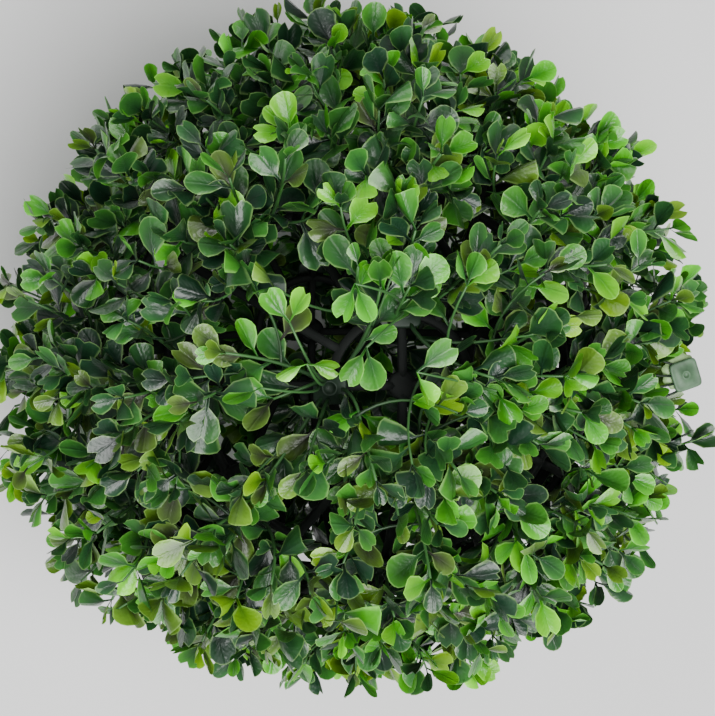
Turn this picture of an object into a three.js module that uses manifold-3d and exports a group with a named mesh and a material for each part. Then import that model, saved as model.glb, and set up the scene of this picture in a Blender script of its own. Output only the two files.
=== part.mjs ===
// An artificial box ball: a hollow lattice frame in two halves, plug-in sprays of leaves all
// round it, and a short post under it. Millimetres, +Z up, origin at the flat foot of the post.

import * as THREE from 'three';
import { mergeVertices } from 'three/addons/utils/BufferGeometryUtils.js';
import Module from 'manifold-3d';

const wasm = await Module();
wasm.setup();
const radians = THREE.MathUtils.degToRad;

// The ball
const BALL_DIAMETER = 300;
const BALL_RADIUS = BALL_DIAMETER / 2;
const TIP_RADIUS = BALL_RADIUS - 0.5; // no leaf tip reaches past this
const CENTRE = new THREE.Vector3(0, 0, BALL_RADIUS);
const CLEARANCE = 0.3; // between pieces that plug or clip together

// The lattice frame
const FRAME_RADIUS = BALL_RADIUS / 1.5;
const BAR_DEPTH = 3;
const BAR_WIDTH = 3.4;
const RIB_COUNT = 24;
const POLE_DISC_RADIUS = 8;
const POLE_DISC_CORNERS = [0.375, 0.625]; // between two spokes, as shares of the angle there
const RING_ANGLES = [15, 45, 75]; // degrees from the pole
const PEG_HEIGHT = 2.5;

// The sprays: how many sit on each ring of a half, and their square hubs
const SPRAYS_ON_RING = [4, 8, 12];
const RING_NAMES = { upper: ['top', 'high', 'upper'], lower: ['bottom', 'low', 'lower'] };
const HUB_SIDE = 12;
const HUB_THICKNESS = 2.4;
const HUB_UNDERSIDE = FRAME_RADIUS + PEG_HEIGHT + CLEARANCE;
const CELL_MARGIN = 0.6; // what each spray keeps clear of the plane between it and the next
const SHORTEST_SPRAY = 0.975; // of the longest, which makes the outline uneven

// Stems of a spray
const STEM_COUNT = 4;
const STEM_RADIUS = 1.5;
const STEM_TIP_RADIUS = 1.0;
const STEM_START = 3.2; // from the middle of the hub
const STEM_LEAN = radians(10.5); // between the spray's axis and the stem's tip, from the centre
const STEM_LEAN_CHANCE = radians(1.5);
const STEM_TURN_CHANCE = 0.12; // of the angle between two stems
const TIP_SHARE = 0.995; // of the spray's reach, where the end leaf's tip lies

// Leaves: rise is how much one stands up for each unit that it leans out, roll its turn about its
// own length in radians
const LEAF_LENGTH = 31;
const LEAF_WIDTH = 28;
const LEAF_THICKNESS = 1.5;
const LEAF_WIDEST = 0.68; // of its length from its root
const LEAF_THICKEST = 0.58;
const LEAF_ROLL = 0.6;
const END_LEAF = { rise: 0.45, riseChance: 0.2, sizeChance: 0.1 };
const SIDE_LEAF = { rise: 0.45, riseChance: 0.35, outwards: 0.35, outwardsChance: 0.9, sizeChance: 0.06 };
const SIDE_LEAVES = [ // how far along a stem, on which side of it, and on every which stem
  { at: 0.7, hand: 1, every: 1 },
  { at: 0.88, hand: -1, every: 2 },
];

// A piece that doesn't fit is tried again, each time a little closer to its spray's axis
const ATTEMPTS = 16;
const LEAN_LESS = 0.93;
const RISE_MORE = 0.05;
const SHRINK = 0.02;
const NEIGHBOUR_ANGLE = radians(70); // sprays further apart than this never meet
const WELD_DISTANCE = 1e-4;
const SLIVER_DISTANCE = 2e-3;

// The post
const POST_RADIUS = 7;
const POST_FOOT_RADIUS = 9.5;
const POST_FOOT_HEIGHT = 4;
const POST_SIDES = 16;
const POST_ROOM = 11.5; // leaves near the post stay this far from its axis

const COLOURS = {
  frame: 0x2c3a2e,
  post: 0x27372a,
  leaves: [0x2f6a1f, 0x3a7d24, 0x27581d, 0x4d9229],
};

// A repeatable random number generator, 0 to 1
function seeded(seed) {
  let state = (seed * 2654435761) >>> 0;
  return () => {
    state = (state + 0x6d2b79f5) >>> 0;
    let t = state;
    t = Math.imul(t ^ (t >>> 15), t | 1);
    t ^= t + Math.imul(t ^ (t >>> 7), t | 61);
    return ((t ^ (t >>> 14)) >>> 0) / 4294967296;
  };
}

function sphereDirection(theta, phi) {
  const flat = Math.sin(theta);
  return new THREE.Vector3(flat * Math.cos(phi), flat * Math.sin(phi), Math.cos(theta));
}

function solidFrom(positions, triangles) {
  const geometry = new THREE.BufferGeometry();
  geometry.setAttribute('position', new THREE.Float32BufferAttribute(positions, 3));
  geometry.setIndex(triangles);
  return geometry;
}

// Where every spray sits: on the ribs' crossings with the rings, evenly round each ring
function spraySites() {
  const sites = [];
  for (const half of ['upper', 'lower']) {
    RING_ANGLES.forEach((ringAngle, ring) => {
      const count = SPRAYS_ON_RING[ring];
      const theta = radians(half === 'upper' ? ringAngle : 180 - ringAngle);
      for (let k = 0; k < count; k += 1) {
        sites.push({
          name: `spray_${RING_NAMES[half][ring]}_${String(k + 1).padStart(2, '0')}`,
          half,
          ring,
          rib: (k * RIB_COUNT) / count,
          axis: sphereDirection(theta, (2 * Math.PI * k) / count),
        });
      }
    });
  }
  return sites;
}

// One half of the frame, as the upper one. The shell is a set of cells between lines of latitude
// and the two edges of each rib. A cell has an outer and an inner face, and a wall along every edge
// that it shares with no other cell.
function frameHalf(sites) {
  const corners = [];
  const cells = [];

  // The two edges of the given ribs on one line of latitude, as a list of corner numbers
  function line(theta, ribs) {
    const halfWidth = BAR_WIDTH / 2 / (FRAME_RADIUS * Math.sin(theta));
    return ribs.flatMap((rib) => [-1, 1].map((side) => {
      const phi = (2 * Math.PI * rib) / RIB_COUNT + side * halfWidth;
      corners.push({ rib, side, direction: sphereDirection(theta, phi) });
      return corners.length - 1;
    }));
  }

  const cornerOf = (numbers, rib, side) => numbers.find(
    (number) => corners[number].rib === rib && corners[number].side === side,
  );

  function ringBetween(above, below, pegRibs) {
    above.forEach((corner, k) => {
      const next = (k + 1) % above.length;
      const isCrossing = corners[corner].side === -1;
      const peg = isCrossing && pegRibs.includes(corners[corner].rib);
      cells.push({ edge: [corner, below[k], below[next], above[next]], peg });
    });
  }

  function ribsBetween(above, below, ribs) {
    for (const rib of ribs) {
      cells.push({
        edge: [
          cornerOf(above, rib, -1), cornerOf(below, rib, -1),
          cornerOf(below, rib, 1), cornerOf(above, rib, 1),
        ],
        peg: false,
      });
    }
  }

  const everyRib = Array.from({ length: RIB_COUNT }, (_, rib) => rib);
  const secondRibs = everyRib.filter((rib) => rib % 2 === 0);
  const spokes = everyRib.filter((rib) => rib % (RIB_COUNT / SPRAYS_ON_RING[0]) === 0);
  const pegRibs = RING_ANGLES.map(
    (_, ring) => sites.filter((site) => site.ring === ring).map((site) => site.rib),
  );
  const halfBar = BAR_WIDTH / 2 / FRAME_RADIUS;
  const [firstRing, secondRing, thirdRing] = RING_ANGLES.map(radians);

  // The disc at the pole, round between its spokes
  corners.push({ rib: -1, side: 0, direction: sphereDirection(0, 0) });
  const pole = 0;
  const discTheta = Math.asin(POLE_DISC_RADIUS / FRAME_RADIUS);
  const discLine = line(discTheta, spokes);
  const discEdge = [];
  spokes.forEach((spoke, k) => {
    discEdge.push(discLine[2 * k], discLine[2 * k + 1]);
    for (const share of POLE_DISC_CORNERS) {
      const phi = (2 * Math.PI * (k + share)) / spokes.length;
      corners.push({ rib: -1, side: 0, direction: sphereDirection(discTheta, phi) });
      discEdge.push(corners.length - 1);
    }
  });
  discEdge.forEach((corner, k) => {
    cells.push({ edge: [pole, corner, discEdge[(k + 1) % discEdge.length]], peg: false });
  });

  const firstAbove = line(firstRing - halfBar, secondRibs);
  const firstBelow = line(firstRing + halfBar, secondRibs);
  ribsBetween(discLine, firstAbove, spokes);
  ringBetween(firstAbove, firstBelow, pegRibs[0]);

  const midFirst = line((firstRing + secondRing) / 2, secondRibs);
  const secondAbove = line(secondRing - halfBar, everyRib);
  const secondBelow = line(secondRing + halfBar, everyRib);
  ribsBetween(firstBelow, midFirst, secondRibs);
  ribsBetween(midFirst, secondAbove, secondRibs);
  ringBetween(secondAbove, secondBelow, pegRibs[1]);

  const thirdAbove = line(thirdRing - halfBar, everyRib);
  const thirdBelow = line(thirdRing + halfBar, everyRib);
  ribsBetween(secondBelow, thirdAbove, everyRib);
  ringBetween(thirdAbove, thirdBelow, pegRibs[2]);

  const seam = Math.PI / 2 - CLEARANCE / 2 / FRAME_RADIUS;
  const rimAbove = line(seam - 2 * halfBar, everyRib);
  const rimBelow = line(seam, everyRib);
  ribsBetween(thirdBelow, rimAbove, everyRib);
  ringBetween(rimAbove, rimBelow, []);

  return shellFromCells(corners.map((corner) => corner.direction), cells);
}

// A closed shell from cells on a sphere, with a raised peg on each cell that asks for one
function shellFromCells(directions, cells) {
  const positions = [];
  const triangles = [];
  const addPoint = (direction, radius) => {
    positions.push(...direction.clone().multiplyScalar(radius).toArray());
    return positions.length / 3 - 1;
  };
  const addFace = (face) => {
    for (let k = 2; k < face.length; k += 1) triangles.push(face[0], face[k - 1], face[k]);
  };
  const outer = directions.map((direction) => addPoint(direction, FRAME_RADIUS));
  const inner = directions.map((direction) => addPoint(direction, FRAME_RADIUS - BAR_DEPTH));

  const edgesOf = ({ edge }) => edge.map((corner, k) => [corner, edge[(k + 1) % edge.length]]);
  const edgeNames = new Set(cells.flatMap((cell) => edgesOf(cell).map(([a, b]) => `${a}-${b}`)));
  for (const cell of cells) {
    addFace(cell.edge.map((corner) => inner[corner]).reverse());
    if (cell.peg) {
      const raised = new Map(cell.edge.map(
        (corner) => [corner, addPoint(directions[corner], FRAME_RADIUS + PEG_HEIGHT)],
      ));
      addFace(cell.edge.map((corner) => raised.get(corner)));
      for (const [a, b] of edgesOf(cell)) {
        addFace([outer[a], outer[b], raised.get(b), raised.get(a)]);
      }
    } else {
      addFace(cell.edge.map((corner) => outer[corner]));
    }
    for (const [a, b] of edgesOf(cell)) {
      if (!edgeNames.has(`${b}-${a}`)) addFace([outer[b], outer[a], inner[a], inner[b]]);
    }
  }
  return solidFrom(positions, triangles);
}

// The lower half is the upper one upside down, with its faces turned to point outwards again
function mirrored(geometry) {
  const copy = geometry.clone();
  copy.scale(1, 1, -1);
  const index = copy.getIndex();
  for (let k = 0; k < index.count; k += 3) {
    const second = index.getX(k + 1);
    index.setX(k + 1, index.getX(k + 2));
    index.setX(k + 2, second);
  }
  return copy;
}

function toManifold(geometry) {
  const bare = geometry.clone();
  for (const name of Object.keys(bare.attributes)) {
    if (name !== 'position') bare.deleteAttribute(name);
  }
  const merged = mergeVertices(bare, WELD_DISTANCE);
  return new wasm.Manifold(new wasm.Mesh({
    numProp: 3,
    vertProperties: new Float32Array(merged.attributes.position.array),
    triVerts: new Uint32Array(merged.getIndex().array),
  }));
}

function toGeometry(manifold) {
  const mesh = manifold.getMesh();
  return solidFrom(Array.from(mesh.vertProperties), Array.from(mesh.triVerts));
}

// A spoon-shaped leaf's corners: its root, its two widest points, its tip, and its thickest middle
function leafCorners({ start, along, across, length, width }) {
  const face = new THREE.Vector3().crossVectors(along, across).normalize();
  const at = (share) => start.clone().addScaledVector(along, length * share);
  return {
    right: at(LEAF_WIDEST).addScaledVector(across, -width / 2),
    tip: at(1),
    left: at(LEAF_WIDEST).addScaledVector(across, width / 2),
    front: at(LEAF_THICKEST).addScaledVector(face, LEAF_THICKNESS / 2),
    back: at(LEAF_THICKEST).addScaledVector(face, -LEAF_THICKNESS / 2),
  };
}

// A loose leaf of eight faces, with its narrow root at the given point in the middle of a stem
function leafGeometry({ root: start, along, across, size }) {
  const { right, tip, left, front, back } = leafCorners({
    start, along, across, length: LEAF_LENGTH * size, width: LEAF_WIDTH * size,
  });
  const positions = [start, right, tip, left, front, back].flatMap((point) => point.toArray());
  const triangles = [];
  for (let k = 0; k < 4; k += 1) {
    const next = (k + 1) % 4;
    triangles.push(k, next, 4, next, k, 5);
  }
  return solidFrom(positions, triangles);
}

// A three-sided stem along a line, which widens at its end into a leaf of the same kind
function stemGeometry(points, leaf) {
  const positions = [];
  const triangles = [];
  const { along, across, size } = leaf;
  const face = new THREE.Vector3().crossVectors(along, across).normalize();
  points.forEach((point, k) => {
    const share = k / (points.length - 1);
    const radius = THREE.MathUtils.lerp(STEM_RADIUS, STEM_TIP_RADIUS, share);
    for (let side = 0; side < 3; side += 1) {
      const turn = (2 * Math.PI * side) / 3;
      const corner = point.clone()
        .addScaledVector(face, radius * Math.cos(turn))
        .addScaledVector(across, -radius * Math.sin(turn));
      positions.push(...corner.toArray());
    }
  });
  for (let k = 0; k + 1 < points.length; k += 1) {
    for (let side = 0; side < 3; side += 1) {
      const a = 3 * k + side;
      const b = 3 * k + ((side + 1) % 3);
      triangles.push(a, b, b + 3, a, b + 3, a + 3);
    }
  }
  const last = positions.length / 3 - 3;
  const corners = leafCorners({
    start: points[points.length - 1],
    along,
    across,
    length: LEAF_LENGTH * size,
    width: LEAF_WIDTH * size,
  });
  const [front, right, back, left, tip] = [3, 4, 5, 6, 7].map((offset) => last + offset);
  for (const name of ['front', 'right', 'back', 'left', 'tip']) {
    positions.push(...corners[name].toArray());
  }
  triangles.push(
    0, 2, 1,
    last, right, front, last, last + 1, right,
    last + 1, back, right, last + 1, last + 2, back,
    last + 2, left, back, last + 2, last, left, last, front, left,
    front, right, tip, right, back, tip, back, left, tip, left, front, tip,
  );
  return solidFrom(positions, triangles);
}

// True where every corner of a piece lies in the spray's own space
function fits(geometry, site, neighbours, reach) {
  const place = geometry.attributes.position;
  const point = new THREE.Vector3();
  const outwards = new THREE.Vector3(site.axis.x, site.axis.y, 0).normalize();
  const nearPost = site.half === 'lower' && site.ring === 0;
  for (let k = 0; k < place.count; k += 1) {
    point.fromBufferAttribute(place, k);
    if (point.length() > reach) return false;
    if (nearPost && point.dot(outwards) < POST_ROOM) return false;
    for (const neighbour of neighbours) {
      if (point.dot(neighbour) < CELL_MARGIN) return false;
    }
  }
  return true;
}

// True where no edge is left open once corners closer than the tolerance are one
function isClosed(geometry) {
  const merged = mergeVertices(geometry.clone(), SLIVER_DISTANCE);
  const index = merged.getIndex().array;
  const open = new Set();
  for (let k = 0; k < index.length; k += 3) {
    for (let side = 0; side < 3; side += 1) {
      const from = index[k + side];
      const to = index[k + ((side + 1) % 3)];
      if (from === to || open.has(`${from}-${to}`)) return false;
      if (!open.delete(`${to}-${from}`)) open.add(`${from}-${to}`);
    }
  }
  return open.size === 0;
}

// A stem with the leaf at its tip, which just reaches the outside of the ball. The stem leans less
// and its leaf stands up more until both fit.
function fittedStem({ site, side, neighbours, reach, vary }) {
  const up = site.axis;
  const lean = STEM_LEAN + vary(STEM_LEAN_CHANCE);
  const rise = END_LEAF.rise + vary(END_LEAF.riseChance);
  const roll = vary(LEAF_ROLL);
  const size = 1 + vary(END_LEAF.sizeChance);
  for (let attempt = 0; attempt < ATTEMPTS; attempt += 1) {
    const less = lean * LEAN_LESS ** attempt;
    const way = up.clone().multiplyScalar(Math.cos(less)).addScaledVector(side, Math.sin(less));
    const along = side.clone().addScaledVector(up, rise + RISE_MORE * attempt).normalize();
    const across = new THREE.Vector3().crossVectors(up, along).normalize()
      .applyAxisAngle(along, roll);
    const leafSize = size * (1 - SHRINK) ** attempt;
    const outwards = LEAF_LENGTH * leafSize * along.dot(way);
    const sideways = LEAF_LENGTH * leafSize * Math.sqrt(1 - along.dot(way) ** 2);
    const end = Math.sqrt((reach * TIP_SHARE) ** 2 - sideways ** 2) - outwards;
    const points = [
      up.clone().multiplyScalar(HUB_UNDERSIDE + HUB_THICKNESS / 2)
        .addScaledVector(side, STEM_START),
      way.multiplyScalar(end),
    ];
    const geometry = stemGeometry(points, { along, across, size: leafSize });
    if (fits(geometry, site, neighbours, reach)) return { points, solid: toManifold(geometry) };
  }
  return null;
}

// A leaf on the side of a stem. It is turned and made smaller until it fits and cuts no other.
function fittedLeaf({ site, side, beside, root, neighbours, reach, others, vary }) {
  const up = site.axis;
  for (let attempt = 0; attempt < ATTEMPTS; attempt += 1) {
    const along = beside.clone()
      .addScaledVector(side, SIDE_LEAF.outwards + vary(SIDE_LEAF.outwardsChance))
      .addScaledVector(up, SIDE_LEAF.rise + vary(SIDE_LEAF.riseChance))
      .normalize();
    const across = new THREE.Vector3().crossVectors(up, along).normalize()
      .applyAxisAngle(along, vary(LEAF_ROLL));
    const size = 1 - SHRINK * attempt + vary(SIDE_LEAF.sizeChance);
    const geometry = leafGeometry({ root, along, across, size });
    if (!fits(geometry, site, neighbours, reach)) continue;
    const solid = toManifold(geometry);
    if (others.every((other) => other.intersect(solid).isEmpty())) return solid;
  }
  return null;
}

// A spray: a square hub, stems that lean out of it, each with a leaf at its tip and leaves on its
// sides. A stem or leaf that finds no room is left out.
function sprayFromSeed(site, sites, seed) {
  const random = seeded(seed);
  const vary = (spread) => (random() * 2 - 1) * spread;
  const neighbours = sites
    .filter((other) => other !== site && other.axis.angleTo(site.axis) < NEIGHBOUR_ANGLE)
    .map((other) => site.axis.clone().sub(other.axis).normalize());
  const growth = THREE.MathUtils.lerp(SHORTEST_SPRAY, 1, random());
  const reach = TIP_RADIUS * growth;
  const up = site.axis;
  const east = new THREE.Vector3(-up.y, up.x, 0).normalize();
  const north = new THREE.Vector3().crossVectors(up, east);

  const hub = new THREE.BoxGeometry(HUB_SIDE, HUB_SIDE, HUB_THICKNESS);
  hub.applyMatrix4(new THREE.Matrix4().makeBasis(east, north, up));
  hub.translate(...up.clone().multiplyScalar(HUB_UNDERSIDE + HUB_THICKNESS / 2).toArray());

  const firstTurn = vary(Math.PI);
  const stems = [];
  for (let k = 0; k < STEM_COUNT; k += 1) {
    const turn = firstTurn + (2 * Math.PI * (k + vary(STEM_TURN_CHANCE))) / STEM_COUNT;
    const side = east.clone().multiplyScalar(Math.cos(turn)).addScaledVector(north, Math.sin(turn));
    const stem = fittedStem({ site, side, neighbours, reach, vary });
    if (stem) stems.push({ ...stem, side });
  }
  const leaves = [];
  for (const { at, hand, every } of SIDE_LEAVES) {
    for (const stem of stems.filter((_, k) => k % every === 0)) {
      const [start, tip] = stem.points;
      const way = tip.clone().sub(start).normalize();
      const beside = new THREE.Vector3().crossVectors(up, way).normalize()
        .multiplyScalar(hand);
      const root = start.clone().lerp(tip, at);
      const others = [...leaves, ...stems.filter((other) => other !== stem).map((s) => s.solid)];
      const leaf = fittedLeaf({
        site, side: stem.side, beside, root, neighbours, reach, others, vary,
      });
      if (leaf) leaves.push(leaf);
    }
  }
  const spray = [...stems.map((stem) => stem.solid), ...leaves]
    .reduce((whole, piece) => whole.add(piece), toManifold(hub));
  return toGeometry(spray);
}

// The spray of the first of a run of seeds that leaves no sliver open
function sprayGeometry(site, sites, number) {
  for (let attempt = 0; attempt < ATTEMPTS; attempt += 1) {
    const geometry = sprayFromSeed(site, sites, number + attempt * sites.length);
    if (isClosed(geometry)) return geometry;
  }
  throw new Error(`no closed spray for ${site.name}`);
}

// The post: a turned peg with a wider foot, flat on the ground
function postGeometry() {
  const top = BALL_RADIUS - FRAME_RADIUS - CLEARANCE;
  const profile = [
    [0, 0],
    [POST_FOOT_RADIUS, 0],
    [POST_FOOT_RADIUS, POST_FOOT_HEIGHT / 2],
    [POST_RADIUS, POST_FOOT_HEIGHT * 1.5],
    [POST_RADIUS * 0.9, top],
    [0, top],
  ].map(([radius, height]) => new THREE.Vector2(radius, height));
  return new THREE.LatheGeometry(profile, POST_SIDES).rotateX(Math.PI / 2);
}

const group = new THREE.Group();

function addMesh(name, geometry, colour, roughness, place) {
  const material = new THREE.MeshStandardMaterial({ color: colour, roughness, metalness: 0 });
  const mesh = new THREE.Mesh(geometry, material);
  mesh.name = name;
  mesh.position.copy(place);
  group.add(mesh);
}

const sites = spraySites();
const upperHalf = frameHalf(sites.filter((site) => site.half === 'upper'));
addMesh('frame_upper', upperHalf, COLOURS.frame, 0.6, CENTRE);
addMesh('frame_lower', mirrored(upperHalf), COLOURS.frame, 0.6, CENTRE);
addMesh('stem', postGeometry(), COLOURS.post, 0.6, new THREE.Vector3());
sites.forEach((site, k) => {
  const colour = COLOURS.leaves[k % COLOURS.leaves.length];
  addMesh(site.name, sprayGeometry(site, sites, k + 1), colour, 0.45, CENTRE);
});

export default group;
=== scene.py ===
"""An artificial box ball: sprays of glossy leaves plugged all round a hollow lattice frame."""

import math

import bpy
import numpy as np
from mathutils import Matrix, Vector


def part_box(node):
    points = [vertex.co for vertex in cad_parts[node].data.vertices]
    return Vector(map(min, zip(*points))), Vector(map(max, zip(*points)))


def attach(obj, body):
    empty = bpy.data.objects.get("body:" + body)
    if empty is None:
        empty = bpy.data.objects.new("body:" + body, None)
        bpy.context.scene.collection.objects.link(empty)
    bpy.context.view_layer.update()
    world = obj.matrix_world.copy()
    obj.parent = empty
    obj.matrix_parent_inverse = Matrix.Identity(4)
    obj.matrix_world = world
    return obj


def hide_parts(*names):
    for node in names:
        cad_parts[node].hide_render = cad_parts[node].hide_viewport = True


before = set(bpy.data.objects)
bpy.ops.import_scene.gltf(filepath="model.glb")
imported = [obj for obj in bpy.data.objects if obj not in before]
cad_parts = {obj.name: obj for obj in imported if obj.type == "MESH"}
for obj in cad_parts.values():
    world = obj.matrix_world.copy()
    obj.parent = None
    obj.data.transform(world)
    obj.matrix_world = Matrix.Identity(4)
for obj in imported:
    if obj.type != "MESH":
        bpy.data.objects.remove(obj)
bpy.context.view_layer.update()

# Sizes in metres, from the frame
MM = 0.001
UPPER_LOW, UPPER_HIGH = (np.array(corner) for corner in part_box("frame_upper"))
_, LOWER_HIGH = (np.array(corner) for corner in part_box("frame_lower"))
POST_LOW, POST_HIGH = (np.array(corner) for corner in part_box("stem"))
CENTRE = np.array([0.0, 0.0, (UPPER_LOW[2] + LOWER_HIGH[2]) / 2])
BALL_RADIUS = CENTRE[2]
FRAME_RADIUS = (UPPER_HIGH[0] - UPPER_LOW[0]) / 2
POST_RADIUS = (POST_HIGH[0] - POST_LOW[0]) / 2
TIP_RADIUS = BALL_RADIUS - 0.5 * MM
FULL_TURN = 2 * math.pi

# How many sides, levels and points round things are divided into
BAR_SIDES, DISC_SIDES, POST_SIDES, POST_LEVELS = 12, 32, 40, 60
HUB_SIDES, PLATE_SIDES, PEG_SIDES, WIRE_SIDES, STEM_SIDES = 32, 40, 10, 8, 6
RING_POINTS, RIB_POINTS, STEM_POINTS, FRILL_POINTS = 96, (6, 10, 16), 9, 90

# The lattice
BAR_WIDTH = 3.4 * MM
BAR_DEPTH = 3.0 * MM
BAR_SQUARENESS = 0.45
RIB_COUNT = 24
RING_ANGLES = (15, 45, 75)
SPOKE_START = 0.03
RIM_GAP = 0.15 * MM

# The disc at each pole of the lattice: radius and height above the shell in millimetres
POLE_DISC = (
    (0.01, 0.0), (2.6, 0.0), (4.6, -0.25), (5.4, -0.9), (5.4, -2.4), (4.8, -3.0), (0.01, -3.0),
)

# The post, as shares of its foot's radius, and its foot and level ridges
POST_WAIST = 0.70
POST_TAPER = 0.04
POST_FOOT = 0.29
FOOT_HEIGHT = 5 * MM
FOOT_SOFTNESS = 0.7 * MM
RIDGE_DEPTH = 0.12 * MM
RIDGE_PITCH = 1.6 * MM

# The sprays
SPRAYS_ON_RING = (4, 8, 12)
RING_NAMES = {"upper": ("top", "high", "upper"), "lower": ("bottom", "low", "lower")}
HUB_SIDE = 12 * MM
HUB_THICKNESS = 2.4 * MM
PEG_HEIGHT = 2.5 * MM
HUB_LIFT = 0.3 * MM
HUB_UNDERSIDE = FRAME_RADIUS + PEG_HEIGHT + HUB_LIFT
PEG_SUNK = 1 * MM
SHORTEST_SPRAY = 0.975

# Square plates, row by row: share of the half side, height in thicknesses, and how square it is,
# from 1 for round
HUB_ROWS = (
    (0.001, 0.0, 1.0), (0.93, 0.0, 0.4), (1.0, 0.12, 0.35), (1.0, 0.8, 0.35), (0.93, 1.0, 0.4),
    (0.5, 1.0, 1.0), (0.47, 1.35, 1.0), (0.36, 1.35, 1.0), (0.33, 0.8, 1.0), (0.001, 0.8, 1.0),
)
LOOSE_PLATE_ROWS = (
    (0.001, -0.5, 1.0), (0.94, -0.5, 0.35), (1.0, -0.3, 0.3), (1.0, 0.3, 0.3),
    (0.92, 0.5, 0.35), (0.84, 0.42, 0.4), (0.34, 0.42, 1.0), (0.31, 0.75, 1.0),
    (0.2, 0.75, 1.0), (0.17, 0.3, 1.0), (0.001, 0.3, 1.0),
)

# A spray's plate that has come loose, from the ball's centre, the way it faces and its near edge
# runs, the way from it that is clear of leaves and how wide it is clear
LOOSE_PLATE = np.array([130.6, -6.5, 40.0]) * MM
LOOSE_PLATE_FACING = np.array([0.05, 0.10, 0.98])
LOOSE_PLATE_EDGE = np.array([-0.28, 0.96, 0.0])
LOOSE_PLATE_THICKNESS = 1.6 * MM
LOOSE_PLATE_CLEAR = np.array([-0.36, 0.12, 0.92])
LOOSE_PLATE_ROOM = 8 * MM
LOOSE_PLATE_UNDER = 1.5 * MM

# Its wires: where each starts, as shares of the spread right and ahead of the plate's middle, and
# where it ends, in millimetres from there. Each arches up, and a little to its own side
WIRES = (
    ((-0.6, 1), (-24, 7, -5)),
    ((-1, 0.2), (-24, 2, -1.8)),
    ((-1, -0.4), (-24, -3, -2.6)),
    ((-0.8, -1), (-24, -8, -5)),
)
WIRE_SPREAD = 5.2 * MM
WIRE_DOWN = 0.4 * MM
WIRE_ARCH, WIRE_ARCH_ASIDE = 4, 0.1
WIRE_RADII = (0.5, 0.4)

# The scrap of leaf under it: share of its edge and height in millimetres, row by row, and the edge
# and its lobe, as shares of the plate's half side
FRILL_ROWS = ((0.001, 0.0), (0.7, 0.0), (1.0, -0.4), (1.0, -0.9), (0.7, -0.7), (0.001, -0.7))
FRILL_DOWN = 1.0 * MM
FRILL_EDGE = 1.05
FRILL_TURN = 2.5
FRILL_BLUNTNESS = 0.4
FRILL_REACH = 0.55
FRILL_WAVE = 0.09
FRILL_WAVES = 11

# Stems: how many there are, with more twigs on sprays below a level under the ball, and between
# which points of a main stem the twigs fork off it
MAIN_STEMS = 4
SIDE_TWIGS = 6
UNDER_TWIGS = 10
UNDER_LEVEL = -0.5
INNER_STEMS = 3
FORK_POINTS = (2, 5)

# How far stems lean, how much that and their turn differ, and how far off the hub's middle they
# start
STEM_LEAN = math.radians(10.5)
STEM_LEAN_CHANCE = math.radians(2)
TWIG_LEAN = math.radians(16.0)
TWIG_LEAN_CHANCE = math.radians(2.5)
INNER_LEAN = math.radians(4.5)
INNER_LEAN_RANGE = (0.6, 1.5)
STEM_TURN_CHANCE = 0.12
TWIG_TURN_CHANCE = 0.3
INNER_TURN_CHANCE = 0.2
STEM_START = 4.2 * MM

# A stem's bulge: its share of the lean, how far out it is and how much that differs
BULGE_LEAN = 0.85
BULGE_OUT = 0.3
BULGE_CHANCE = 2.0 * MM

# Each kind of stem: its radius at the root and the tip, how many leaf lengths it may end short, and
# where along it pairs of leaves grow
MAIN = {"radii": (0.9, 0.52), "short": (0.45, 1.3), "pairs": (0.26, 0.42, 0.58, 0.72, 0.85)}
TWIG = {"radii": (0.65, 0.42), "short": (0.4, 1.8), "pairs": (0.30, 0.50, 0.68, 0.85)}
INNER = {"radii": (0.8, 0.48), "short": (0.5, 1.9), "pairs": (0.26, 0.42, 0.58, 0.72, 0.85)}

# The open place on top: its middle and half widths, the share of leaves left there, how far out it
# starts to close, and the power of that share low on a stem and how much less it is at the end
OPEN_MIDDLE = np.array([-0.16, 0.09, 0.98])
OPEN_ALONG, OPEN_ACROSS = math.radians(38), math.radians(19)
OPEN_SHARE = 0.30
OPEN_START = 0.2
OPEN_POWER, OPEN_POWER_LESS = 2.2, 1.3

# How far the stems are combed away from it, and how far out that goes
COMBED = math.radians(8)
COMBED_REACH = 1.3

# Sprigs that cross the open place: the spray each grows from, the way its end lies, and its
# leaves, each with its colour, its turn round the upright in degrees and its size
SPRIGS = (
    ("spray_top_03", (-0.33, 0.19, 0.93), (("bright", 130, 0.85), ("lime", 62, 0.8))),
    ("spray_top_02", (-0.17, 0.28, 0.94), (("bright", 245, 0.85), ("bright", 292, 0.85))),
    ("spray_top_03", (-0.29, 0.09, 0.95), (("lime", 190, 0.65), ("lime", 352, 0.7))),
    ("spray_top_02", (-0.15, 0.13, 0.98), (("bright", 235, 0.9), ("mid", 285, 0.9))),
    ("spray_top_01", (-0.03, 0.07, 1.00), (("mid", 40, 1.0), ("lime", 290, 0.75))),
    ("spray_top_03", (-0.40, 0.03, 0.92), (("bright", 205, 0.85),)),
)
SPRIG_REACH = 140 * MM
SPRIG_MIDDLE = 0.93
SPRIG_RISE = 0.25

# Where the ball bulges and where it is flat: the way, how far round it goes and by how much
BULGES = (
    ((-0.95, -0.30, 0.03), 28, 0.055),
    ((-0.57, 0.82, 0.0), 18, -0.030),
    ((0.48, 0.87, 0.15), 20, 0.025),
    ((0.90, -0.22, 0.38), 16, 0.030),
    ((-0.06, -0.95, 0.30), 22, -0.075),
)

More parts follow.
